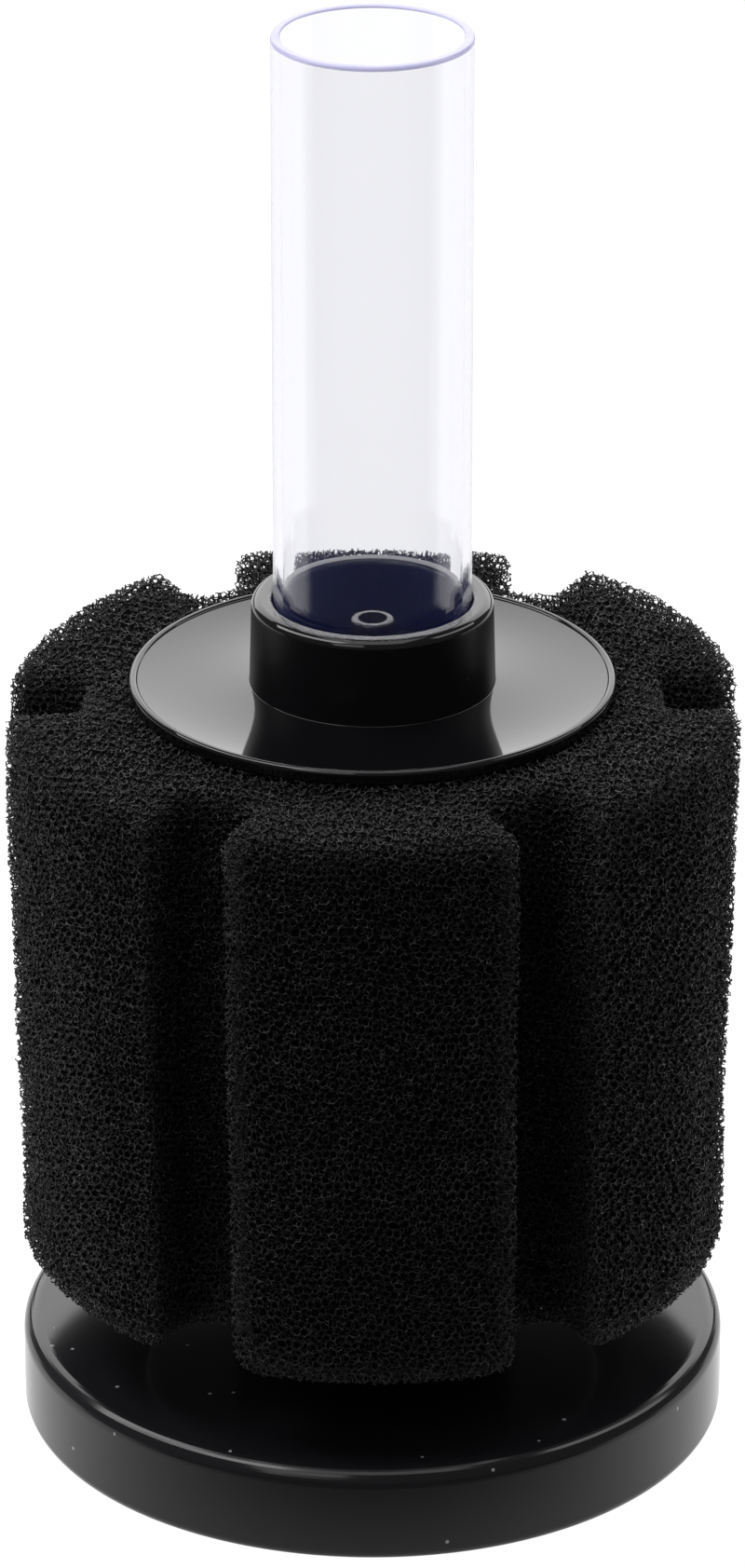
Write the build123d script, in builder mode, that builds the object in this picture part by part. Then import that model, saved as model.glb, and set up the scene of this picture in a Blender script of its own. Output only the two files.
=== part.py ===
"""Air-driven sponge filter: weighted base, slotted core, grooved foam, cap and clear lift tube.

The origin is the centre of the base's underside, +Z points up the lift tube, and -Y is the front.
All lengths are in millimetres.
"""
from build123d import *
from math import cos, hypot, radians, sin
import os

# ---------------------------------------------------------------- driving sizes
# lift tube
tube_outer_radius = 16.0
tube_wall = 1.2
tube_length = 106.8
tube_rim_round = 0.3

# weighted base
base_radius = 58.4
base_height = 16.3
base_wall = 3.0
base_shoulder_round = 3.0
base_foot_round = 1.8
base_top_thickness = 2.4
floor_plate_thickness = 2.0
floor_plate_ledge = 1.2
ballast_inner_radius = 34.0
ballast_thickness = 7.0
ballast_chamfer = 0.8
boss_height = 5.6
boss_wall = 4.0
boss_rim_round = 0.8

# foam sponge
sponge_radius = 59.0
sponge_height = 98.7
sponge_lift = 13.9
lobe_count = 6
slot_width = 13.6
slot_depth = 12.7
slot_floor_round = 3.0
lobe_corner_round = 1.5
lobe_corner_tolerance = 0.01

# discs that hold the sponge
disc_radius = 39.4
disc_foot_thickness = 1.35
disc_dish_thickness = 0.95
disc_land_thickness = 1.7
disc_edge_thickness = 1.4
disc_bead_width = 1.4
lower_disc_radius = 38.0
lower_disc_thickness = 2.0
lower_disc_round = 0.6

# cap collar and spigot
collar_wall = 3.45
collar_height = 14.4
collar_flare = 0.4
collar_rim_outer_round = 1.5
collar_rim_inner_round = 0.9
tube_insertion = 12.3
spigot_wall = 2.15
spigot_length = 12.0
spigot_chamfer = 0.6
nozzle_lip_width = 1.3
nozzle_lip_thickness = 3.0

# slotted core
core_wall = 2.0
core_headroom = 0.5
window_rows = 5
window_columns = 12
window_width = 4.0
window_rib = 4.0
window_end_margin = 4.0

# air nozzle and diffuser
nozzle_outer_radius = 3.6
nozzle_bore_radius = 2.4
nozzle_reach = 8.65
nozzle_tip_round = 0.5
spider_thickness = 3.0
spider_ring_wall = 2.0
spoke_count = 3
spoke_width = 1.8
hub_radius = 6.0
hub_depth = 4.0
stem_radius = 4.6
stem_length = 6.0
air_passage_radius = 1.5
diffuser_radius = 8.0
diffuser_wall = 1.6
diffuser_length = 16.0
diffuser_foot_round = 1.0
diffuser_hole_radius = 0.6
diffuser_hole_columns = 8
diffuser_hole_rows = 3
diffuser_hole_pitch = 3.2

# clearances, each on the radius
slide_clearance = 0.05
plug_clearance = 0.05
foam_clearance = 0.3
ballast_clearance = 0.4

# ---------------------------------------------------------------- derived radii
tube_inner_radius = tube_outer_radius - tube_wall
seat_radius = tube_outer_radius + slide_clearance
collar_radius = seat_radius + collar_wall
collar_foot_radius = collar_radius + collar_flare
spigot_radius = tube_inner_radius + spigot_wall
core_inner_radius = spigot_radius + slide_clearance
core_radius = core_inner_radius + core_wall
core_socket_radius = core_radius + plug_clearance
boss_radius = core_socket_radius + boss_wall
sponge_bore_radius = core_radius + foam_clearance
land_radius = disc_radius - disc_bead_width
dish_radius = (collar_foot_radius + land_radius) / 2
nozzle_lip_radius = tube_inner_radius - nozzle_lip_width
spider_radius = tube_inner_radius - plug_clearance
skirt_inner_radius = base_radius - base_wall
floor_plate_radius = skirt_inner_radius - plug_clearance
cavity_radius = skirt_inner_radius - floor_plate_ledge
ballast_outer_radius = cavity_radius - ballast_clearance

# ---------------------------------------------------------------- derived heights
boss_top = base_height + boss_height
sponge_bottom = base_height + sponge_lift
sponge_top = sponge_bottom + sponge_height
lower_disc_bottom = sponge_bottom - lower_disc_thickness
core_top = sponge_top - core_headroom
collar_foot = sponge_top + disc_foot_thickness
collar_top = collar_foot + collar_height
tube_bottom = collar_top - tube_insertion
tube_top = tube_bottom + tube_length
spigot_bottom = sponge_top - spigot_length
nozzle_lip_top = spigot_bottom + nozzle_lip_thickness
nozzle_tip = tube_bottom + nozzle_reach
spider_top = nozzle_lip_top + spider_thickness
hub_bottom = nozzle_lip_top - hub_depth
stem_bottom = hub_bottom - stem_length
diffuser_bottom = hub_bottom - diffuser_length
lowest_hole = diffuser_bottom + diffuser_wall + diffuser_hole_pitch / 2


def ring(radius, hole_radius, bottom, top):
    """Add a plain ring between two heights to the active part."""
    with BuildSketch(Plane.XY.offset(bottom)) as section:
        Circle(radius)
        Circle(hole_radius, mode=Mode.SUBTRACT)
    extrude(section.sketch, amount=top - bottom)


def disc(radius, bottom, top, mode=Mode.ADD):
    """Add a plain disc between two heights to the active part, or cut one from it."""
    with BuildSketch(Plane.XY.offset(bottom)) as section:
        Circle(radius)
    extrude(section.sketch, amount=top - bottom, mode=mode)


def radial_plane(angle_deg):
    """A vertical plane through the Z axis whose normal points out at this angle, with local Y up."""
    angle = radians(angle_deg)
    return Plane(origin=(0, 0, 0), x_dir=(-sin(angle), cos(angle), 0), z_dir=(cos(angle), sin(angle), 0))


def finish(piece, name):
    """Label a finished piece and write it to its own STEP file."""
    piece.part.label = name
    export_step(piece.part, f"parts/{name}.step")


os.makedirs("parts", exist_ok=True)

# ---------------------------------------------------------------- base
# the cover: top plate, skirt and the boss that the core plugs into
with BuildPart() as base_shell:
    disc(base_radius, 0, base_height)
    fillet(base_shell.edges().filter_by(GeomType.CIRCLE).sort_by(Axis.Z)[-1], base_shoulder_round)
    fillet(base_shell.edges().filter_by(GeomType.CIRCLE).sort_by(Axis.Z)[0], base_foot_round)
    disc(cavity_radius, 0, base_height - base_top_thickness, mode=Mode.SUBTRACT)
    disc(skirt_inner_radius, 0, floor_plate_thickness, mode=Mode.SUBTRACT)
    ring(boss_radius, core_socket_radius, base_height, boss_top)
    fillet(base_shell.edges().filter_by(GeomType.CIRCLE).sort_by(Axis.Z)[-1], boss_rim_round)
finish(base_shell, "base_shell")

# the plate that closes the base, flush with the skirt's foot
with BuildPart() as base_floor_plate:
    disc(floor_plate_radius, 0, floor_plate_thickness)
finish(base_floor_plate, "base_floor_plate")

# the weight, sealed between the cover and the floor plate
with BuildPart() as ballast_ring:
    ring(ballast_outer_radius, ballast_inner_radius, floor_plate_thickness,
         floor_plate_thickness + ballast_thickness)
    chamfer(ballast_ring.edges().group_by(Axis.Z)[-1], ballast_chamfer)
finish(ballast_ring, "ballast_ring")

# ---------------------------------------------------------------- core
# the sponge's seat: a disc on a sleeve that stands on the base's boss
with BuildPart() as lower_disc:
    ring(lower_disc_radius, core_socket_radius, lower_disc_bottom, sponge_bottom)
    fillet(lower_disc.edges().filter_by(GeomType.CIRCLE).sort_by(SortBy.RADIUS)[-2:], lower_disc_round)
    ring(boss_radius, core_socket_radius, boss_top, lower_disc_bottom)
finish(lower_disc, "lower_disc")

# the strainer tube, with rows of upright windows that the water enters through
window_span = spigot_bottom - sponge_bottom - 2 * window_end_margin
window_height = (window_span - (window_rows - 1) * window_rib) / window_rows
with BuildPart() as core_tube:
    ring(core_radius, core_inner_radius, base_height, core_top)
    for column in range(window_columns // 2):
        with BuildSketch(radial_plane((column + 0.5) * 360 / window_columns)):
            for row in range(window_rows):
                low_end = sponge_bottom + window_end_margin + row * (window_height + window_rib)
                with Locations((0, low_end + window_height / 2)):
                    SlotOverall(window_height, window_width, rotation=90)
        extrude(amount=core_radius + 1, both=True, mode=Mode.SUBTRACT)
finish(core_tube, "core_tube")

# ---------------------------------------------------------------- sponge
# a foam cylinder with upright slots, turned so that a lobe faces the front
with BuildPart() as sponge:
    with BuildSketch(Plane.XY.offset(sponge_bottom)) as sponge_section:
        Circle(sponge_radius)
        with PolarLocations(sponge_radius, lobe_count):
            Rectangle(2 * slot_depth, slot_width, mode=Mode.SUBTRACT)
        half_depth_radius = sponge_radius - slot_depth / 2
        slot_corners = sponge_section.vertices().filter_by(lambda v: hypot(v.X, v.Y) < half_depth_radius)
        fillet(slot_corners, slot_floor_round)
        lobe_corners = sponge_section.vertices().filter_by(
            lambda v: abs(hypot(v.X, v.Y) - sponge_radius) < lobe_corner_tolerance)
        fillet(lobe_corners, lobe_corner_round)
        Circle(sponge_bore_radius, mode=Mode.SUBTRACT)
    extrude(amount=sponge_height)
finish(sponge, "sponge")

# ---------------------------------------------------------------- cap
# one turned profile: collar with the tube's seat, dished disc with a beaded rim, and the spigot
with BuildPart() as top_cap:
    with BuildSketch(Plane.XZ):
        with BuildLine():
            Polyline(
                (collar_foot_radius, collar_foot),
                (collar_radius, collar_top),
                (seat_radius, collar_top),
                (seat_radius, tube_bottom),
                (tube_inner_radius, tube_bottom),
                (tube_inner_radius, nozzle_lip_top),
                (nozzle_lip_radius, nozzle_lip_top),
                (nozzle_lip_radius, spigot_bottom),
                (spigot_radius, spigot_bottom),
                (spigot_radius, sponge_top),
                (disc_radius, sponge_top),
                (disc_radius, sponge_top + disc_edge_thickness),
            )
            TangentArc(
                (disc_radius, sponge_top + disc_edge_thickness),
                (land_radius, sponge_top + disc_land_thickness),
                tangent=(0, 1),
            )
            ThreePointArc(
                (land_radius, sponge_top + disc_land_thickness),
                (dish_radius, sponge_top + disc_dish_thickness),
                (collar_foot_radius, collar_foot),
            )
        make_face()
    revolve(axis=Axis.Z)
    for side, rim_round in ((-1, collar_rim_outer_round), (0, collar_rim_inner_round)):
        rim_edges = top_cap.edges().filter_by(GeomType.CIRCLE).group_by(Axis.Z)[-1]
        fillet(rim_edges.sort_by(SortBy.RADIUS)[side], rim_round)
    spigot_edges = top_cap.edges().filter_by(GeomType.CIRCLE).group_by(Axis.Z)[0].sort_by(SortBy.RADIUS)
    chamfer(spigot_edges[-1], spigot_chamfer)
finish(top_cap, "top_cap")

# the spider that seats on the cap's lip, with the upright air nozzle at its hub
with BuildPart() as air_nozzle:
    ring(spider_radius, spider_radius - spider_ring_wall, nozzle_lip_top, spider_top)
    spoke_reach = spider_radius - spider_ring_wall / 2
    for spoke in range(spoke_count):
        with BuildSketch(Plane.XY.offset(nozzle_lip_top).rotated((0, 0, spoke * 360 / spoke_count))):
            with Locations((spoke_reach / 2, 0)):
                Rectangle(spoke_reach, spoke_width)
        extrude(amount=spider_thickness)
    disc(hub_radius, hub_bottom, spider_top)
    disc(stem_radius, stem_bottom, hub_bottom)
    disc(nozzle_outer_radius, spider_top, nozzle_tip)
    fillet(air_nozzle.edges().filter_by(GeomType.CIRCLE).sort_by(Axis.Z)[-1], nozzle_tip_round)
    disc(nozzle_bore_radius, spider_top, nozzle_tip, mode=Mode.SUBTRACT)
    disc(air_passage_radius, stem_bottom, spider_top, mode=Mode.SUBTRACT)
finish(air_nozzle, "air_nozzle")

# the cup that breaks the air into bubbles, hung from the hub's stem
with BuildPart() as air_diffuser:
    disc(diffuser_radius, diffuser_bottom, hub_bottom)
    fillet(air_diffuser.edges().filter_by(GeomType.CIRCLE).sort_by(Axis.Z)[0], diffuser_foot_round)
    disc(diffuser_radius - diffuser_wall, diffuser_bottom + diffuser_wall, hub_bottom - diffuser_wall,
         mode=Mode.SUBTRACT)
    disc(stem_radius + plug_clearance, hub_bottom - diffuser_wall, hub_bottom, mode=Mode.SUBTRACT)
    for column in range(diffuser_hole_columns // 2):
        with BuildSketch(radial_plane((column + 0.5) * 360 / diffuser_hole_columns)):
            for row in range(diffuser_hole_rows):
                with Locations((0, lowest_hole + row * diffuser_hole_pitch)):
                    Circle(diffuser_hole_radius)
        extrude(amount=diffuser_radius + 1, both=True, mode=Mode.SUBTRACT)
finish(air_diffuser, "air_diffuser")

# ---------------------------------------------------------------- lift tube
with BuildPart() as lift_tube:
    ring(tube_outer_radius, tube_inner_radius, tube_bottom, tube_top)
    fillet(lift_tube.edges().group_by(Axis.Z)[-1], tube_rim_round)
finish(lift_tube, "lift_tube")
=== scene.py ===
"""The looks of the sponge filter: foam built strut by strut, black mouldings and a clear lift tube."""
import math

import bpy
import numpy as np
from mathutils import Matrix, Vector


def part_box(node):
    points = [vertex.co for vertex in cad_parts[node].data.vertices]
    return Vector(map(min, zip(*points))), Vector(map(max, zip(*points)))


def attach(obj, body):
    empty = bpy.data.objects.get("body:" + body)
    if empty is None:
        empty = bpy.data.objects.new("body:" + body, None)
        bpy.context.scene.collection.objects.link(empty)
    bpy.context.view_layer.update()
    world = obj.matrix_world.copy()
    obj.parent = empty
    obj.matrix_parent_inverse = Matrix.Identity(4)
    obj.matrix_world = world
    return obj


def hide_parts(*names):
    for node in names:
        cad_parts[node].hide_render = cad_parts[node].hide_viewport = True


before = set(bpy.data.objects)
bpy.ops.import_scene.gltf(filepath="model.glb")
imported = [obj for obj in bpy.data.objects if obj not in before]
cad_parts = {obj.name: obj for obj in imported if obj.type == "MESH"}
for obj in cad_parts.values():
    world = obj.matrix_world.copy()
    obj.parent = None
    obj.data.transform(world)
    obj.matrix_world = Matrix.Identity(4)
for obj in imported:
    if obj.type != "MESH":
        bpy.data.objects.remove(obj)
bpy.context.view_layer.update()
scene = bpy.context.scene

MM = 0.001

# ---------------------------------------------------------------- places read from the frame
sponge_low, sponge_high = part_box("sponge")
core_low, core_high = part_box("core_tube")
disc_low, disc_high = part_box("top_cap")
tube_low, tube_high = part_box("lift_tube")
base_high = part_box("base_shell")[1]


# ---------------------------------------------------------------- shared helpers
def placed(name, data):
    """A new object in the scene that shows a mesh, lamp or camera."""
    thing = bpy.data.objects.new(name, data)
    scene.collection.objects.link(thing)
    return thing


def set_inputs(node, values):
    """Give a shader node's named inputs their constant values."""
    for name, value in values.items():
        node.inputs[name].default_value = value


# ---------------------------------------------------------------- camera
CAMERA_PLACE = (0.0, -1.1139, 0.6089)
CAMERA_DOWN = 0.42  # radians below the horizontal
CAMERA_LENS = 172.3


def add_camera():
    """The photographer's view: from the front, looking down at 24 degrees with a long lens."""
    data = bpy.data.cameras.new("camera")
    data.sensor_fit = "VERTICAL"
    data.sensor_height = 36.0
    data.lens = CAMERA_LENS
    data.clip_start = 0.05
    data.clip_end = 50.0
    camera = placed("camera", data)
    camera.location = CAMERA_PLACE
    camera.rotation_euler = (math.pi / 2 - CAMERA_DOWN, 0.0, 0.0)
    scene.camera = camera


# ---------------------------------------------------------------- light and floor
LIT_POINT = (0.0, 0.0, 0.12)
ROOM_GLOW = 0.15
FLOOR_HALF_WIDTH = 6.0
FLOOR_FADE_START, FLOOR_FADE_END = -0.10, -0.02
FLOOR_GLOW = 1.08
FLOOR_FRONT_TONE, FLOOR_BACK_TONE = 0.11, 0.06


def add_panel(name, place, size, radiance, along=(1.0, 0.0, 0.0)):
    """A rectangular softbox at place, turned to the lit point, with its long side along a direction."""
    data = bpy.data.lights.new(name, "AREA")
    data.shape = "RECTANGLE"
    data.size, data.size_y = size
    data.energy = radiance * math.pi * size[0] * size[1]
    lamp = placed(name, data)
    away = (Vector(place) - Vector(LIT_POINT)).normalized()
    side = (Vector(along) - away * away.dot(Vector(along))).normalized()
    lamp.matrix_world = Matrix((side, away.cross(side), away)).transposed().to_4x4()
    lamp.location = place


def unreflected(nodes, links):
    """A node that gives at least 1 where a sight line hasn't been reflected, else its second input."""
    path = nodes.new("ShaderNodeLightPath")
    bounces = nodes.new("ShaderNodeMath")
    bounces.operation = "SUBTRACT"
    links.new(path.outputs["Ray Depth"], bounces.inputs[0])
    links.new(path.outputs["Transmission Depth"], bounces.inputs[1])
    straight = nodes.new("ShaderNodeMath")
    straight.operation = "LESS_THAN"
    straight.inputs[1].default_value = 0.5
    links.new(bounces.outputs["Value"], straight.inputs[0])
    larger = nodes.new("ShaderNodeMath")
    larger.operation = "MAXIMUM"
    links.new(straight.outputs["Value"], larger.inputs[0])
    return larger


def add_studio():
    """A pale sweep that is brightest behind the object, a dim room and four softboxes."""
    world = bpy.data.worlds.new("studio")
    scene.world = world
    world.use_nodes = True
    background = world.node_tree.nodes["Background"]
    background.inputs["Color"].default_value = (1.0, 1.0, 1.0, 1.0)
    room = unreflected(world.node_tree.nodes, world.node_tree.links)
    room.inputs[1].default_value = ROOM_GLOW
    world.node_tree.links.new(room.outputs["Value"], background.inputs["Strength"])

    half = FLOOR_HALF_WIDTH
    corners = [(-half, -half, 0), (half, -half, 0), (half, half, 0), (-half, half, 0)]
    mesh = bpy.data.meshes.new("studio_floor")
    mesh.from_pydata(corners, [], [(0, 1, 2, 3)])
    floor = placed("studio_floor", mesh)
    material, nodes, links = new_material("studio_floor")
    shader = nodes["Principled BSDF"]
    set_inputs(shader, {
        "Roughness": 0.9,
        "Specular IOR Level": 0.0,
        "Emission Color": (1.0, 1.0, 1.0, 1.0),
    })
    place = nodes.new("ShaderNodeTexCoord")
    apart = nodes.new("ShaderNodeSeparateXYZ")
    links.new(place.outputs["Object"], apart.inputs["Vector"])
    fades = (("Emission Strength", 0.0, FLOOR_GLOW), ("Base Color", FLOOR_FRONT_TONE, FLOOR_BACK_TONE))
    for socket, front, back in fades:
        fade = nodes.new("ShaderNodeMapRange")
        fade.interpolation_type = "SMOOTHSTEP"
        set_inputs(fade, {
            "From Min": FLOOR_FADE_START,
            "From Max": FLOOR_FADE_END,
            "To Min": front,
            "To Max": back,
        })
        links.new(apart.outputs["Y"], fade.inputs["Value"])
        links.new(fade.outputs["Result"], shader.inputs[socket])
    glow = unreflected(nodes, links)
    links.new(shader.inputs["Emission Strength"].links[0].from_socket, glow.inputs[1])
    links.new(glow.outputs["Value"], shader.inputs["Emission Strength"])
    mesh.materials.append(material)

    add_panel("back_panel", (0.0, 1.25, 0.75), (2.2, 1.0), 2.25)
    add_panel("top_panel", (0.0, -0.1, 1.25), (0.9, 0.9), 1.45)
    add_panel("front_panel", (-0.45, -0.95, 0.95), (0.6, 0.5), 1.7)
    add_panel("left_strip", (-0.62, 0.0, 0.95), (1.0, 0.32), 5.4, along=(-0.48, 0.73, -0.25))
    add_panel("right_strip", (0.78, 0.16, 0.82), (0.75, 0.26), 2.6, along=(0.35, 0.85, -0.2))


# ---------------------------------------------------------------- material helpers
def new_material(name):
    """A node material, its nodes and its links."""
    material = bpy.data.materials.new(name)
    material.use_nodes = True
    return material, material.node_tree.nodes, material.node_tree.links


def repaint(node, material):
    """Give every slot of a CAD node one material."""
    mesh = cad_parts[node].data
    mesh.materials.clear()
    mesh.materials.append(material)


PLASTIC_IOR = 1.49
DUST_GREY = (0.35, 0.35, 0.36, 1.0)


def moulded_black(name, colour, roughness, shine, grain_mm, grain_height_mm, speck_size, speck_share):
    """Black injection-moulded plastic: fine surface ripple, uneven gloss and a few specks of dust."""
    material, nodes, links = new_material(name)
    shader = nodes["Principled BSDF"]
    place = nodes.new("ShaderNodeTexCoord")

    shader.inputs["Specular IOR Level"].default_value = shine

    # the gloss is a little uneven
    gloss = nodes.new("ShaderNodeTexNoise")
    set_inputs(gloss, {"Scale": 45.0, "Detail": 4.0})
    links.new(place.outputs["Object"], gloss.inputs["Vector"])
    spread = nodes.new("ShaderNodeMapRange")
    set_inputs(spread, {"To Min": roughness * 0.8, "To Max": roughness * 1.25})
    links.new(gloss.outputs["Fac"], spread.inputs["Value"])
    links.new(spread.outputs["Result"], shader.inputs["Roughness"])

    # a share of the cells hold a speck of dust, more of them to the left
    specks = nodes.new("ShaderNodeTexVoronoi")
    specks.inputs["Scale"].default_value = 260.0
    links.new(place.outputs["Object"], specks.inputs["Vector"])
    near = nodes.new("ShaderNodeMath")
    near.operation = "LESS_THAN"
    near.inputs[1].default_value = speck_size
    links.new(specks.outputs["Distance"], near.inputs[0])
    chosen = nodes.new("ShaderNodeSeparateColor")
    links.new(specks.outputs["Color"], chosen.inputs["Color"])
    few = nodes.new("ShaderNodeMath")
    few.operation = "LESS_THAN"
    links.new(chosen.outputs["Red"], few.inputs[0])
    apart = nodes.new("ShaderNodeSeparateXYZ")
    links.new(place.outputs["Object"], apart.inputs["Vector"])
    settled = nodes.new("ShaderNodeMapRange")
    set_inputs(settled, {
        "From Min": -0.06,
        "From Max": 0.06,
        "To Min": speck_share * 2,
        "To Max": speck_share * 0.4,
    })
    links.new(apart.outputs["X"], settled.inputs["Value"])
    links.new(settled.outputs["Result"], few.inputs[1])
    both = nodes.new("ShaderNodeMath")
    both.operation = "MULTIPLY"
    links.new(near.outputs["Value"], both.inputs[0])
    links.new(few.outputs["Value"], both.inputs[1])
    paint = nodes.new("ShaderNodeMix")
    paint.data_type = "RGBA"
    set_inputs(paint, {"A": (*colour, 1.0), "B": DUST_GREY})
    links.new(both.outputs["Value"], paint.inputs["Factor"])
    links.new(paint.outputs["Result"], shader.inputs["Base Color"])

    # the mould's fine grain
    grain = nodes.new("ShaderNodeTexNoise")
    set_inputs(grain, {"Scale": 1.0 / (grain_mm * MM), "Detail": 3.0})
    links.new(place.outputs["Object"], grain.inputs["Vector"])
    bump = nodes.new("ShaderNodeBump")
    set_inputs(bump, {"Distance": grain_height_mm * MM, "Strength": 1.0})
    links.new(grain.outputs["Fac"], bump.inputs["Height"])
    links.new(bump.outputs["Normal"], shader.inputs["Normal"])
    return material


def clear_acrylic(name):
    """Clear extruded tube with a faint violet cast in thick glass and faint draw lines."""
    material, nodes, links = new_material(name)
    shader = nodes["Principled BSDF"]
    set_inputs(shader, {
        "Base Color": (1.0, 1.0, 1.0, 1.0),
        "Transmission Weight": 1.0,
        "Roughness": 0.02,
        "IOR": PLASTIC_IOR,
    })

    # draw lines run up the tube
    place = nodes.new("ShaderNodeTexCoord")
    stretch = nodes.new("ShaderNodeMapping")
    stretch.inputs["Scale"].default_value = (1.0, 1.0, 0.04)
    links.new(place.outputs["Object"], stretch.inputs["Vector"])
    lines = nodes.new("ShaderNodeTexNoise")
    set_inputs(lines, {"Scale": 500.0, "Detail": 2.0})
    links.new(stretch.outputs["Vector"], lines.inputs["Vector"])
    bump = nodes.new("ShaderNodeBump")
    set_inputs(bump, {"Distance": 0.01 * MM, "Strength": 1.0})
    links.new(lines.outputs["Fac"], bump.inputs["Height"])
    links.new(bump.outputs["Normal"], shader.inputs["Normal"])

    # thick stretches of wall look violet, and a trace of haze looks blue over a dark ground
    absorb = nodes.new("ShaderNodeVolumeAbsorption")
    set_inputs(absorb, {"Color": (0.28, 0.27, 0.42, 1.0), "Density": 44.0})
    links.new(absorb.outputs["Volume"], nodes["Material Output"].inputs["Volume"])

    haze = nodes.new("ShaderNodeBsdfDiffuse")
    haze.inputs["Color"].default_value = (0.13, 0.19, 1.0, 1.0)
    hazed = nodes.new("ShaderNodeMixShader")
    hazed.inputs["Fac"].default_value = 0.016
    links.new(shader.outputs["BSDF"], hazed.inputs[1])
    links.new(haze.outputs["BSDF"], hazed.inputs[2])

    # the tube lets light through instead of casting a hard shadow
    seen = nodes.new("ShaderNodeBsdfTransparent")
    seen.inputs["Color"].default_value = (0.93, 0.925, 0.96, 1.0)
    light_path = nodes.new("ShaderNodeLightPath")
    blend = nodes.new("ShaderNodeMixShader")
    links.new(light_path.outputs["Is Shadow Ray"], blend.inputs["Fac"])
    links.new(hazed.outputs["Shader"], blend.inputs[1])
    links.new(seen.outputs["BSDF"], blend.inputs[2])
    links.new(blend.outputs["Shader"], nodes["Material Output"].inputs["Surface"])
    return material


def sawn_acrylic(name):
    """The tube's cut ends: frosted, with painted light: a violet tint and a weak violet emission stand in
    for the light that runs along the wall.
    """
    material, nodes, links = new_material(name)
    shader = nodes["Principled BSDF"]
    place = nodes.new("ShaderNodeTexCoord")
    cloud = nodes.new("ShaderNodeTexNoise")
    set_inputs(cloud, {"Scale": 160.0, "Detail": 2.0})
    links.new(place.outputs["Object"], cloud.inputs["Vector"])
    # painted light, in part: the violet base colour stands for the acrylic's own tint together with light
    # piped along the wall; the noise only varies its tone
    paint = nodes.new("ShaderNodeMix")
    paint.data_type = "RGBA"
    set_inputs(paint, {"A": (0.38, 0.37, 0.66, 1.0), "B": (0.60, 0.58, 0.80, 1.0)})
    links.new(cloud.outputs["Fac"], paint.inputs["Factor"])
    links.new(paint.outputs["Result"], shader.inputs["Base Color"])
    # painted glow: the emission makes the cut ends shine violet like light piped along the wall, though they
    # are no lamp
    set_inputs(shader, {
        "Transmission Weight": 0.2,
        "Roughness": 0.35,
        "IOR": PLASTIC_IOR,
        "Emission Color": (0.62, 0.60, 0.86, 1.0),
        "Emission Strength": 0.22,
    })
    return material


def foam_black(name, colour, roughness, shine):
    """One of the foam's blacks. The skin's three are dealt out strut by strut."""
    material, nodes, links = new_material(name)
    shader = nodes["Principled BSDF"]
    set_inputs(shader, {"Base Color": (*colour, 1.0), "Roughness": roughness, "Specular IOR Level": shine})
    return material


# ---------------------------------------------------------------- turned pieces
# lengths in this section are millimetres
EDGE_LOOP_GAP = 0.04
TUBE_BORE_WALL = 1.2
TUBE_SEEN_WALL = 1.5
SAWN_ZONE, SAWN_ZONE_START = 0.7, 0.68
SAWN_ZONE_INSIDE = 0.32
FIT_GAP = 0.05

SPIGOT_WALL = 2.15
LIP_REACH, LIP_HEIGHT = 1.3, 3.0
COLLAR_WALL = 3.45
COLLAR_LIP_ROUND, COLLAR_SEAT_ROUND = 1.5, 0.9
DISC_FOOT_THICKNESS, DISC_LAND_THICKNESS, DISC_EDGE_THICKNESS = 1.35, 1.7, 1.4
DISH_MARGIN, DISH_SAG = 0.4, 2.3
BEAD_WIDTH, BEAD_RADIUS, BEAD_BACK_ANGLE = 1.4, 0.732, 0.45

BASE_WALL, BASE_ROOF = 3.0, 2.4
RECESS_WALL, RECESS_DEPTH = 4.2, 2.0
BASE_SHOULDER_ROUND, BASE_FOOT_ROUND = 3.0, 1.8
BOSS_WALL = 4.0


def rounded(corners):
    """A closed outline's points in (radius, height), each corner rounded by its own radius."""
    points = []
    for n, (r, z, size) in enumerate(corners):
        here = np.array([r, z])
        if size == 0:
            points.append(here)
            continue
        before = np.array(corners[n - 1][:2]) - here
        after = np.array(corners[(n + 1) % len(corners)][:2]) - here
        before, after = before / np.linalg.norm(before), after / np.linalg.norm(after)
        half = np.arccos(np.clip(before @ after, -1, 1)) / 2
        middle = before + after
        centre = here + middle / np.linalg.norm(middle) * size / np.sin(half)
        start = here + before * size / np.tan(half) - centre
        finish = here + after * size / np.tan(half) - centre
        turn = np.arctan2(start[0] * finish[1] - start[1] * finish[0], start @ finish)
        steps = max(3, int(abs(turn) / math.radians(9)))
        for t in np.linspace(0, turn, steps + 1):
            c, s = np.cos(t), np.sin(t)
            points.append(centre + [start[0] * c - start[1] * s, start[0] * s + start[1] * c])
    # a point close to each end of a long run keeps the shading crisp there
    held = []
    for n, point in enumerate(points):
        following = points[(n + 1) % len(points)]
        gap = following - point
        length = np.linalg.norm(gap)
        held.append(point)
        if length > 0.3:
            held += [point + gap / length * EDGE_LOOP_GAP, following - gap / length * EDGE_LOOP_GAP]
    return np.array(held)


def turned(name, outline, materials, choose=None, steps=360):
    """A closed smooth mesh made by turning an outline, given counter-clockwise, round the Z axis."""
    rows = []
    verts = []
    for r, z in outline:
        count = 1 if r < 1e-6 else steps
        rows.append([len(verts) + j % count for j in range(steps)])
        for j in range(count):
            angle = 2 * math.pi * j / steps
            verts.append((r * math.cos(angle) * MM, r * math.sin(angle) * MM, z * MM))
    faces, slots = [], []
    for n, row in enumerate(rows):
        above = rows[(n + 1) % len(rows)]
        slot = choose(*(outline[n] + outline[(n + 1) % len(rows)]) / 2) if choose else 0
        for j in range(steps):
            k = (j + 1) % steps
            face = list(dict.fromkeys((row[j], row[k], above[k], above[j])))
            if len(face) > 2:
                faces.append(face)
                slots.append(slot)
    mesh = bpy.data.meshes.new(name)
    mesh.from_pydata(verts, [], faces)
    mesh.polygons.foreach_set("material_index", slots)
    mesh.shade_smooth()
    for material in materials:
        mesh.materials.append(material)
    return placed(name, mesh)


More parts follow.
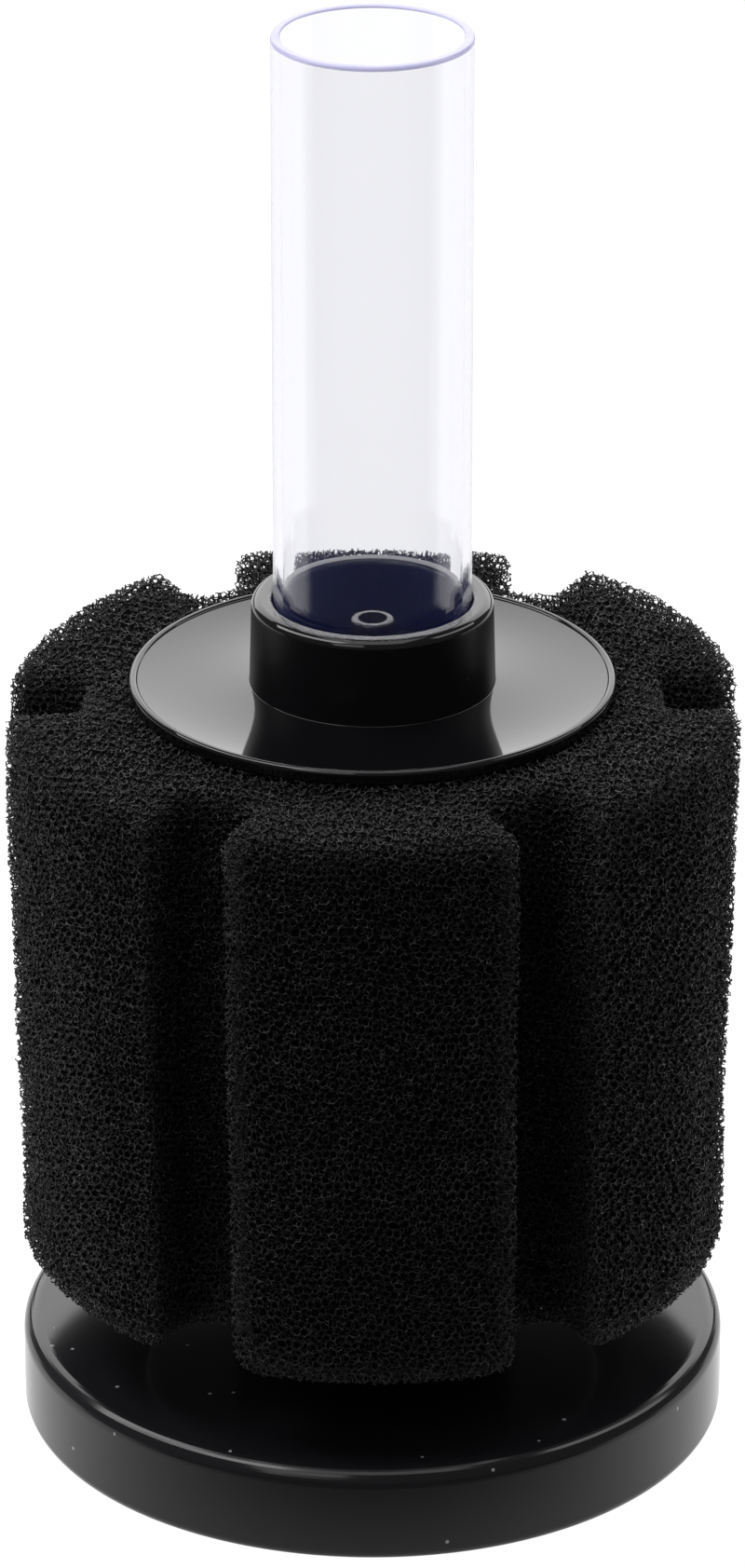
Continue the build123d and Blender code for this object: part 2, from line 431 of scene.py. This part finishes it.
def build_cap(material, wall_material):
    """The cap: spigot, dished disc with a beaded rim, collar with the tube's seat."""
    disc_r = disc_high.x / MM
    top = disc_high.z / MM
    foot = disc_low.z / MM
    under = sponge_high.z / MM
    tube_foot = tube_low.z / MM
    seat = tube_high.x / MM + FIT_GAP
    bore = tube_high.x / MM - TUBE_BORE_WALL
    lip, lip_top = bore - LIP_REACH, foot + LIP_HEIGHT
    spigot = bore + SPIGOT_WALL
    collar = seat + COLLAR_WALL
    inner, land = collar + DISH_MARGIN, disc_r - BEAD_WIDTH
    foot_top, land_top = under + DISC_FOOT_THICKNESS, under + DISC_LAND_THICKNESS

    bead_z = under + DISC_EDGE_THICKNESS
    rim = [(disc_r - BEAD_RADIUS + BEAD_RADIUS * math.cos(t), bead_z + BEAD_RADIUS * math.sin(t), 0)
           for t in np.linspace(0.0, math.pi - BEAD_BACK_ANGLE, 13)]
    slope = np.linspace(1, 0, 25)[1:-1]
    dish = [(inner + (land - inner) * t, foot_top + (land_top - foot_top) * t - DISH_SAG * t * (1 - t), 0)
            for t in slope]
    outline = rounded([
        (lip, foot, 0.15), (spigot, foot, 0.6), (spigot, under, 0.3), (disc_r, under, 0.2),
        *rim, (land, land_top, 0), *dish,
        (inner, foot_top, 0.12), (collar, top, COLLAR_LIP_ROUND), (seat, top, COLLAR_SEAT_ROUND),
        (seat, tube_foot, 0.1), (bore, tube_foot, 0.1), (bore, lip_top, 0.1), (lip, lip_top, 0.1),
    ])

    def on_collar_wall(r, z):
        return int(collar - 0.1 < r < inner + 0.1 and foot_top + 0.03 < z < top - 1.3)

    piece = turned("cap_moulding", outline, [material, wall_material], choose=on_collar_wall)
    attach(piece, "cap_body")
    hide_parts("top_cap")


def build_tube(wall_material, rim_material):
    """The clear lift tube, with slightly eased rims."""
    outer, top, foot = tube_high.x / MM, tube_high.z / MM, tube_low.z / MM
    inner = outer - TUBE_SEEN_WALL
    outline = rounded([
        (inner, foot, 0.05), (outer, foot, 0.05), (outer, top - SAWN_ZONE, 0), (outer, top, 0.4),
        (inner, top, 0.3),
    ])

    def is_sawn(r, z):
        return int(z > top - (SAWN_ZONE_START if r > outer - 0.5 else SAWN_ZONE_INSIDE))

    piece = turned("lift_tube_clear", outline, [wall_material, rim_material], choose=is_sawn)
    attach(piece, "tube_body")
    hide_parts("lift_tube")


def build_base(material):
    """The weighted base's cover: rounded shoulder, skirt, and the boss that the core stands in."""
    wall, top = base_high.x / MM, core_low.z / MM
    boss_top = base_high.z / MM
    socket = core_high.x / MM + FIT_GAP
    boss = socket + BOSS_WALL
    recess = wall - RECESS_WALL
    skirt = wall - BASE_WALL
    roof = top - BASE_ROOF
    outline = rounded([
        (0, roof, 0), (recess, roof, 0.3), (recess, RECESS_DEPTH, 0.1), (skirt, RECESS_DEPTH, 0.1),
        (skirt, 0, 0.1), (wall, 0, BASE_FOOT_ROUND), (wall, top, BASE_SHOULDER_ROUND), (boss, top, 0.4),
        (boss, boss_top, 0.8), (socket, boss_top, 0.15), (socket, top, 0.1), (0, top, 0),
    ])
    piece = turned("base_cover", outline, [material])
    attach(piece, "root")
    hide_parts("base_shell")


# ---------------------------------------------------------------- foam: its outer shape
# lengths in this section are millimetres
FOAM_TOP_RADIUS = 59.8
FOAM_FOOT_RADIUS = 58.3
FOAM_BORE_RADIUS = 19.4
LOBES = 6
SLOT_WIDTH = 13.6
SLOT_DEPTH = 12.7
SLOT_FLOOR_ROUND = 3.0
EDGE_ROUND = 1.6
FOOT_ROUND = 4.5
TOP_ROUND = 2.0
TWIST_DEG = 0.3
SKIN_DEPTH = 1.25
CORE_EDGE_ROUND = 5.0
TOP_RISE = -0.4
TOP_LEAN = 0.016
BACK_BUMP = 1.2
BACK_BUMP_X, BACK_BUMP_Y = 36, 45
BACK_BUMP_SPREAD = 500

foam_low_z = sponge_low.z / MM + 0.05
foam_high_z = sponge_high.z / MM - 0.05
foam_mid_z = (foam_low_z + foam_high_z) / 2
foam_half_height = (foam_high_z - foam_low_z) / 2


def smooth_max(a, b, width):
    """The larger of a and b, rounded where they cross."""
    near = np.maximum(width - np.abs(a - b), 0) / width
    return np.maximum(a, b) + near * near * width / 4


def foam_rise(x, y, z):
    """How far the cut top stands above or below level. Under the cap's disc it is level."""
    upper = np.clip((z - foam_mid_z) / foam_half_height, 0, 1)
    cut = TOP_RISE + TOP_LEAN * (x + y) + 0.25 * np.sin(x / 11 + y / 17) + 0.2 * np.sin(y / 8 - x / 21 + 1.0)
    bump_distance_2 = (np.abs(x) - BACK_BUMP_X) ** 2 + (y - BACK_BUMP_Y) ** 2
    cut = cut + BACK_BUMP * np.exp(-bump_distance_2 / BACK_BUMP_SPREAD)
    clear = np.clip((np.hypot(x, y) - disc_high.x / MM - np.where(cut > 0, 1.0, -1.0)) / 5, 0, 1)
    return cut * clear * clear * (3 - 2 * clear) * upper * upper


def foam_distance(points, edge_round):
    """Signed distance from the slotted foam's surface, roughly, negative inside."""
    x, y, z = points[..., 0], points[..., 1], points[..., 2]
    rise = (z - foam_mid_z) / foam_half_height
    radius = np.hypot(x, y)
    angle = np.arctan2(y, x) + np.radians(TWIST_DEG) * rise
    period = 2 * np.pi / LOBES
    folded = (angle + period / 2) % period - period / 2
    across, out = np.abs(radius * np.sin(folded)), radius * np.cos(folded)
    mean_radius, flare = (FOAM_TOP_RADIUS + FOAM_FOOT_RADIUS) / 2, (FOAM_TOP_RADIUS - FOAM_FOOT_RADIUS) / 2
    wall_radius = mean_radius + flare * rise
    wall_radius = wall_radius + 0.18 * np.sin(z / 13 + 2 * angle) + 0.15 * np.sin(z / 6.5 - 3 * angle + 0.7)
    into = wall_radius - SLOT_DEPTH + SLOT_FLOOR_ROUND - out
    aside = across - SLOT_WIDTH / 2 + SLOT_FLOOR_ROUND
    slot = np.hypot(np.maximum(into, 0), np.maximum(aside, 0)) + np.minimum(np.maximum(into, aside), 0)
    slot -= SLOT_FLOOR_ROUND
    outline = smooth_max(radius - wall_radius, -slot, edge_round)
    ends = np.abs(z - foam_rise(x, y, z) - foam_mid_z) - foam_half_height
    end_round = edge_round + np.where(rise < 0, FOOT_ROUND, TOP_ROUND) * np.clip(4 * np.abs(rise), 0, 1)
    return smooth_max(smooth_max(outline, ends, end_round), FOAM_BORE_RADIUS - radius, 0.5)


# ---------------------------------------------------------------- foam: the open-cell network
FOAM_SEED = 20
CELLS_PER_BLOCK = 6
CELL_PITCH = 1.64
SEED_JITTER = 0.16
RELAX_STEPS = 5
STRUT_SIZE = 0.14
NODE_JITTER = 0.05
SURFACE_FRAY = 0.12
BANDS = 5


def foam_block(rng):
    """One repeating block of random open-cell foam, in cell pitches.

    The cells are a Voronoi division of jittered body-centred seeds. Returns the places of its
    nodes, and for each of a node's four struts the far node (-1 for none) and the far block.
    """
    side = CELLS_PER_BLOCK
    grid = np.stack(np.meshgrid(*[np.arange(side)] * 3, indexing="ij"), -1).reshape(-1, 3).astype(float)
    seeds = np.concatenate([grid, grid + 0.5])
    seeds = (seeds + rng.normal(scale=SEED_JITTER, size=seeds.shape)) % side
    shifts = np.stack(np.meshgrid(*[[-1, 0, 1]] * 3, indexing="ij"), -1).reshape(-1, 3)
    cloud = (seeds[None] + shifts[:, None] * side).reshape(-1, 3)
    # seeds further than this from the block don't touch its cells
    reach = 2.6
    cloud = cloud[((cloud > -reach) & (cloud < side + reach)).all(1)]

    near_count, test_count = 30, 90
    a, b, c = np.array([(i, j, k) for i in range(near_count) for j in range(i + 1, near_count)
                        for k in range(j + 1, near_count)]).T
    ends = []
    for seed in seeds:
        order = np.argsort(((cloud - seed) ** 2).sum(1))[1:test_count + 1]
        near = cloud[order] - seed
        bc, ca, ab = (np.cross(near[p], near[q]) for p, q in ((b, c), (c, a), (a, b)))
        volume = np.einsum("ij,ij->i", near[a], bc)
        ok = np.abs(volume) > 1e-7
        square = (near * near).sum(1)
        centre = square[a][ok, None] * bc[ok] + square[b][ok, None] * ca[ok] + square[c][ok, None] * ab[ok]
        centre /= 2 * volume[ok, None]
        three = np.stack([a, b, c], 1)[ok]
        size = (centre * centre).sum(1)
        ok = size < 1.5
        centre, three, size = centre[ok], three[ok], size[ok]
        gaps = ((centre[:, None] - near[None]) ** 2).sum(2) - size[:, None]
        ok = (gaps > -1e-9).all(1)
        centre, three = centre[ok], three[ok]
        shared = {}
        for n, (i, j, k) in enumerate(three):
            for face in ((i, j), (i, k), (j, k)):
                shared.setdefault(face, []).append(n)
        ends += [(centre[n[0]] + seed, centre[n[1]] + seed) for n in shared.values() if len(n) == 2]
    ends = np.array(ends)

    # the same node and strut are found from several cells: keep one of each
    steps = 10 ** 6
    flat = ends.reshape(-1, 3)
    key = np.round((flat % side) * steps).astype(np.int64) % (side * steps)
    _, first, back = np.unique(key, axis=0, return_index=True, return_inverse=True)
    place = flat[first] % side
    back = back.reshape(-1, 2)
    far = np.round((ends[:, 1] - ends[:, 0] - place[back[:, 1]] + place[back[:, 0]]) / side).astype(int)
    strut = np.concatenate([np.concatenate([back, far], 1), np.concatenate([back[:, ::-1], -far], 1)])
    strut = np.unique(strut, axis=0)
    start, finish, far = strut[:, 0], strut[:, 1], strut[:, 2:]

    # even the struts out, as surface tension does
    count = np.bincount(start, minlength=len(place))
    for _ in range(RELAX_STEPS):
        pull = np.zeros_like(place)
        np.add.at(pull, start, place[finish] + far * side - place[start])
        place = place + 0.5 * pull / count[:, None]

    slot = np.arange(len(start)) - np.concatenate([[0], np.cumsum(count)[:-1]])[start]
    linked = np.full((len(place), 4), -1)
    blocks = np.zeros((len(place), 4, 3), int)
    ok = slot < 4
    linked[start[ok], slot[ok]] = finish[ok]
    blocks[start[ok], slot[ok]] = far[ok]
    return place, linked, blocks


def foam_warp(points):
    """Slow uneven stretching, so that no row of cells runs straight."""
    x, y, z = points[..., 0], points[..., 1], points[..., 2]
    shift = np.stack([
        0.55 * np.sin(y / 3.1 + 1.3) + 0.45 * np.sin(z / 4.3 + x / 9.0),
        0.55 * np.sin(z / 3.7 + 0.4) + 0.45 * np.sin(x / 4.9 + y / 8.0),
        0.55 * np.sin(x / 3.4 + 2.1) + 0.45 * np.sin(y / 4.1 + z / 10.0),
    ], -1)
    return points + shift


def foam_nodes(rng):
    """The network's nodes in the foam's skin: places, and four struts' directions, lengths and far nodes."""
    place, linked, blocks = foam_block(rng)
    side = CELLS_PER_BLOCK * CELL_PITCH
    turn = np.array(Vector((1.0, 0.35, 0.2)).rotation_difference(Vector((0.2, 1.0, 0.55))).to_matrix())
    middle = np.array([0.0, 0.0, foam_mid_z])
    reach = int(np.ceil(np.hypot(FOAM_TOP_RADIUS, foam_half_height) / side)) + 1
    index = np.stack(np.meshgrid(*[np.arange(-reach, reach + 1)] * 3, indexing="ij"), -1).reshape(-1, 3)
    centres = ((index + 0.5) * side) @ turn.T + middle
    # a block's corner is 0.87 of its side from its middle
    margin = side * 0.87 + 1.5
    depth = foam_distance(centres, EDGE_ROUND)
    index = index[(depth < margin) & (depth > -margin - SKIN_DEPTH)]
    table = np.full([2 * reach + 3] * 3, -1)
    table[tuple((index + reach + 1).T)] = np.arange(len(index))

    points = ((index[:, None] * CELLS_PER_BLOCK + place[None]) * CELL_PITCH) @ turn.T + middle
    points = foam_warp(points + rng.normal(scale=NODE_JITTER, size=points.shape)).reshape(-1, 3)
    outer = foam_distance(points, EDGE_ROUND) + rng.normal(scale=SURFACE_FRAY, size=len(points))
    inner = foam_distance(points, CORE_EDGE_ROUND) + SKIN_DEPTH
    bore_wall = (np.hypot(points[:, 0], points[:, 1]) < FOAM_BORE_RADIUS + 2.5) & (
        np.abs(points[:, 2] - foam_mid_z) < foam_half_height - 10)
    kept = (outer < 0) & (inner > -0.25) & ~bore_wall

    block_of, node_of = np.divmod(np.flatnonzero(kept), len(place))
    far_block = table[tuple(np.moveaxis(index[block_of][:, None] + blocks[node_of] + reach + 1, -1, 0))]
    far_node = linked[node_of]
    known = (far_node >= 0) & (far_block >= 0)
    far = np.where(known, far_block * len(place) + far_node, 0)
    own = points[kept]
    away = points[far] - own[:, None]
    length = np.where(known, np.linalg.norm(away, axis=2), 0)
    direction = np.where(known[..., None], away / np.maximum(length, 1e-9)[..., None], 0)
    opposite = -direction.sum(1)
    opposite /= np.maximum(np.linalg.norm(opposite, axis=1), 1e-9)[:, None]
    direction = np.where(known[..., None], direction, opposite[:, None])

    number = np.full(len(points), -1)
    number[kept] = np.arange(kept.sum())
    far_kept = np.where(known, number[far], -1)
    # a strut that leaves the foam is cut at its surface, and one that dives into the core runs on a little
    cut = outer[kept][:, None] / np.minimum(outer[kept][:, None] - outer[far], -1e-9)
    share = np.where(outer[far] >= 0, np.clip(cut, 0, 1), 0.7)
    stub = np.where(known, share * length, 0)
    return own, direction, length, far_kept, stub


OTHERS = np.array([[1, 2, 3], [0, 2, 3], [0, 1, 3], [0, 1, 2]])


def ordered_corners(corners, centre, axis):
    """The order of three corners counter-clockwise about an axis, and their angles in that order."""
    helper = np.where(np.abs(axis[:, 2:]) < 0.8, [[0.0, 0.0, 1.0]], [[1.0, 0.0, 0.0]])
    u = np.cross(helper, axis)
    v = np.cross(axis, u)
    spoke = corners - centre[:, None]
    angle = np.arctan2(np.einsum("nij,nj->ni", spoke, v), np.einsum("nij,nj->ni", spoke, u))
    order = np.argsort(angle, axis=1)
    return order, np.take_along_axis(angle, order, 1)


def network_mesh(name, verts, quads, caps, slots, materials):
    """A smooth mesh of four-sided and three-sided faces, with only the corners that they use."""
    used, loops = np.unique(np.concatenate([quads.ravel(), caps.ravel()]), return_inverse=True)
    verts = verts[used]
    mesh = bpy.data.meshes.new(name)
    mesh.vertices.add(len(verts))
    mesh.vertices.foreach_set("co", verts.astype(np.float32).ravel())
    mesh.loops.add(len(loops))
    mesh.loops.foreach_set("vertex_index", loops.astype(np.int32))
    mesh.polygons.add(len(quads) + len(caps))
    starts = np.concatenate([np.arange(len(quads)) * 4, len(quads) * 4 + np.arange(len(caps)) * 3])
    mesh.polygons.foreach_set("loop_start", starts.astype(np.int32))
    mesh.polygons.foreach_set("material_index", slots.astype(np.int32))
    mesh.update(calc_edges=True)
    mesh.shade_smooth()
    for material in materials:
        mesh.materials.append(material)
    return mesh


def foam_piece(name, members, own, direction, length, far, stub, size, tint, materials):
    """One closed mesh: each node is a small tetrahedron, and a three-sided strut grows from each face."""
    inside = np.full(len(own), -1)
    inside[members] = np.arange(len(members))
    own, direction, length, stub = own[members], direction[members], length[members], stub[members]
    size, tint = size[members], tint[members]
    far_raw = far[members]
    far = np.where(far_raw >= 0, inside[far_raw], -1)
    crosses = (far_raw >= 0) & (far < 0)
    stub = np.where(crosses, length / 2, stub)

    corners = own[:, None] - size[:, None, None] * direction
    verts = [corners.reshape(-1, 3)]
    quads, quad_tint, caps, cap_tint = [], [], [], []

    # struts between two nodes of this piece
    start, slot = np.nonzero(far >= 0)
    finish = far[start, slot]
    key = start * len(own) + finish
    order = np.argsort(key)
    partner = order[np.searchsorted(key[order], finish * len(own) + start)]
    once = start < finish
    a, a_slot, b, b_slot = start[once], slot[once], finish[once], slot[partner][once]
    axis = direction[a, a_slot]
    a_order, a_angle = ordered_corners(corners[a[:, None], OTHERS[a_slot]], own[a], axis)
    b_order, b_angle = ordered_corners(corners[b[:, None], OTHERS[b_slot]], own[b], axis)
    a_ring = a[:, None] * 4 + np.take_along_axis(OTHERS[a_slot], a_order, 1)
    b_ring = b[:, None] * 4 + np.take_along_axis(OTHERS[b_slot], b_order, 1)
    best, best_gap = b_ring.copy(), np.full(len(a), np.inf)
    for turn in range(3):
        gap = (1 - np.cos(a_angle - np.roll(b_angle, turn, axis=1))).sum(1)
        better = gap < best_gap
        best[better] = np.roll(b_ring, turn, axis=1)[better]
        best_gap = np.minimum(gap, best_gap)
    for i, j in ((0, 1), (1, 2), (2, 0)):
        quads.append(np.stack([a_ring[:, i], a_ring[:, j], best[:, j], best[:, i]], 1))
        quad_tint.append(tint[a])

    # struts that end in the air, and faces with no strut
    start, slot = np.nonzero(far < 0)
    axis = direction[start, slot]
    ring_corners = corners[start[:, None], OTHERS[slot]]
    ring_order, _ = ordered_corners(ring_corners, own[start], axis)
    ring = start[:, None] * 4 + np.take_along_axis(OTHERS[slot], ring_order, 1)
    reach = stub[start, slot]
    long = reach > size[start] * 1.1
    caps.append(ring[~long])
    cap_tint.append(tint[start[~long]])
    at = np.take_along_axis(ring_corners[long], ring_order[long][..., None], 1)
    spoke = at - own[start[long]][:, None]
    along = np.einsum("nij,nj->ni", spoke, axis[long])
    flat = spoke - along[..., None] * axis[long][:, None]
    tip = own[start[long]][:, None] + flat * 0.9 + (axis[long] * reach[long][:, None])[:, None]
    tip_ring = len(own) * 4 + np.arange(long.sum() * 3).reshape(-1, 3)
    verts.append(tip.reshape(-1, 3))
    for i, j in ((0, 1), (1, 2), (2, 0)):
        quads.append(np.stack([ring[long][:, i], ring[long][:, j], tip_ring[:, j], tip_ring[:, i]], 1))
        quad_tint.append(tint[start[long]])
    caps.append(tip_ring)
    cap_tint.append(tint[start[long]])

    verts, quads, caps = np.concatenate(verts) * MM, np.concatenate(quads), np.concatenate(caps)
    slots = np.concatenate(quad_tint + cap_tint)
    piece = placed(name, network_mesh(name, verts, quads, caps, slots, materials))
    return piece


def foam_core(material):
    """The foam's inner body under the open skin, closed, with the bore through it: painted shade, its flat
    unglossy black standing in for the shaded depths of the foam.
    """
    around = np.radians(np.arange(0, 360, 0.5))
    low, high = foam_low_z + SKIN_DEPTH, foam_high_z - SKIN_DEPTH
    ease = (1 - np.cos(np.linspace(0, np.pi, 72))) / 2
    levels = low + 0.02 + (high - low - 0.04) * ease
    angle, level = np.meshgrid(around, levels)
    near = np.full_like(angle, FOAM_BORE_RADIUS + SKIN_DEPTH)
    away = np.full_like(angle, FOAM_TOP_RADIUS)
    for _ in range(30):
        middle = (near + away) / 2
        x, y = middle * np.cos(angle), middle * np.sin(angle)
        points = np.stack([x, y, level + foam_rise(x, y, level)], -1)
        solid = foam_distance(points, CORE_EDGE_ROUND) + SKIN_DEPTH < 0
        near, away = np.where(solid, middle, near), np.where(solid, away, middle)
    bore = FOAM_BORE_RADIUS + 0.4
    lid = [bore + (near[-1:] - bore) * t for t in np.linspace(1, 0, 14)[1:]]
    radius = np.concatenate([np.full_like(near[:1], bore), near, *lid])
    level = np.concatenate([level[:1], level, *[level[-1:]] * len(lid)])
    angle = np.concatenate([angle[:1], angle, *[angle[-1:]] * len(lid)])
    x, y = radius * np.cos(angle), radius * np.sin(angle)
    verts = np.stack([x, y, level + foam_rise(x, y, level)], -1)
    rows, columns = verts.shape[:2]
    grid = np.arange(rows * columns).reshape(rows, columns)
    down = np.roll(grid, -1, axis=0)
    quads = np.stack([grid, np.roll(grid, -1, axis=1), np.roll(down, -1, axis=1), down], -1).reshape(-1, 4)
    mesh = bpy.data.meshes.new("sponge_foam")
    mesh.from_pydata((verts.reshape(-1, 3) * MM).tolist(), [], quads.tolist())
    mesh.shade_smooth()
    mesh.materials.append(material)
    piece = placed("sponge_foam", mesh)
    return piece


def build_foam():
    """The sponge: a dark core of painted shade under an open skin of struts, in pieces by lobe and height.
    """
    rng = np.random.default_rng(FOAM_SEED)
    blacks = [
        foam_black("foam_black", (0.013, 0.013, 0.0135), 0.4, 0.4),
        foam_black("foam_charcoal", (0.022, 0.022, 0.0235), 0.45, 0.45),
        foam_black("foam_dusty", (0.055, 0.055, 0.057), 0.6, 0.4),
    ]
    # painted shade: the core's flat black with no gloss stands in for the shaded depths of the foam seen
    # through the open skin
    core = foam_core(foam_black("foam_core_painted_shade", (0.007, 0.007, 0.0072), 0.9, 0.0))
    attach(core, "sponge_body")
    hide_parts("sponge")

    own, direction, length, far, stub = foam_nodes(rng)
    size = STRUT_SIZE * np.clip(rng.normal(1.0, 0.16, len(own)), 0.65, 1.5)
    tint = rng.choice(3, len(own), p=[0.62, 0.32, 0.06])
    lobe = (np.degrees(np.arctan2(own[:, 1], own[:, 0])) % 360 // (360 / LOBES)).astype(int)
    for n in range(LOBES):
        heights = own[lobe == n, 2]
        edges = np.quantile(heights, np.arange(1, BANDS) / BANDS)
        band = np.searchsorted(edges, own[:, 2])
        for m in range(BANDS):
            members = np.flatnonzero((lobe == n) & (band == m))
            piece = foam_piece(f"foam_skin_{n + 1}_{m + 1}", members,
                               own, direction, length, far, stub, size, tint, blacks)
            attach(piece, "sponge_body")


# ---------------------------------------------------------------- the scene
scene.view_settings.view_transform = "Standard"
add_camera()
add_studio()

satin = moulded_black("satin_black", colour=(0.011, 0.0105, 0.0125), roughness=0.14, shine=0.40,
                      grain_mm=0.35, grain_height_mm=0.002, speck_size=0.09, speck_share=0.16)
gloss = moulded_black("gloss_black", colour=(0.004, 0.0038, 0.0046), roughness=0.06, shine=0.5,
                      grain_mm=2.5, grain_height_mm=0.001, speck_size=0.04, speck_share=0.03)
dull = moulded_black("dull_black", colour=(0.0062, 0.0058, 0.0070), roughness=0.34, shine=0.1,
                     grain_mm=0.5, grain_height_mm=0.002, speck_size=0.05, speck_share=0.10)
build_base(satin)
build_cap(gloss, dull)
build_tube(clear_acrylic("clear_acrylic"), sawn_acrylic("sawn_acrylic"))
for node in ("base_floor_plate", "lower_disc", "core_tube", "air_diffuser", "ballast_ring", "air_nozzle"):
    repaint(node, satin)
build_foam()
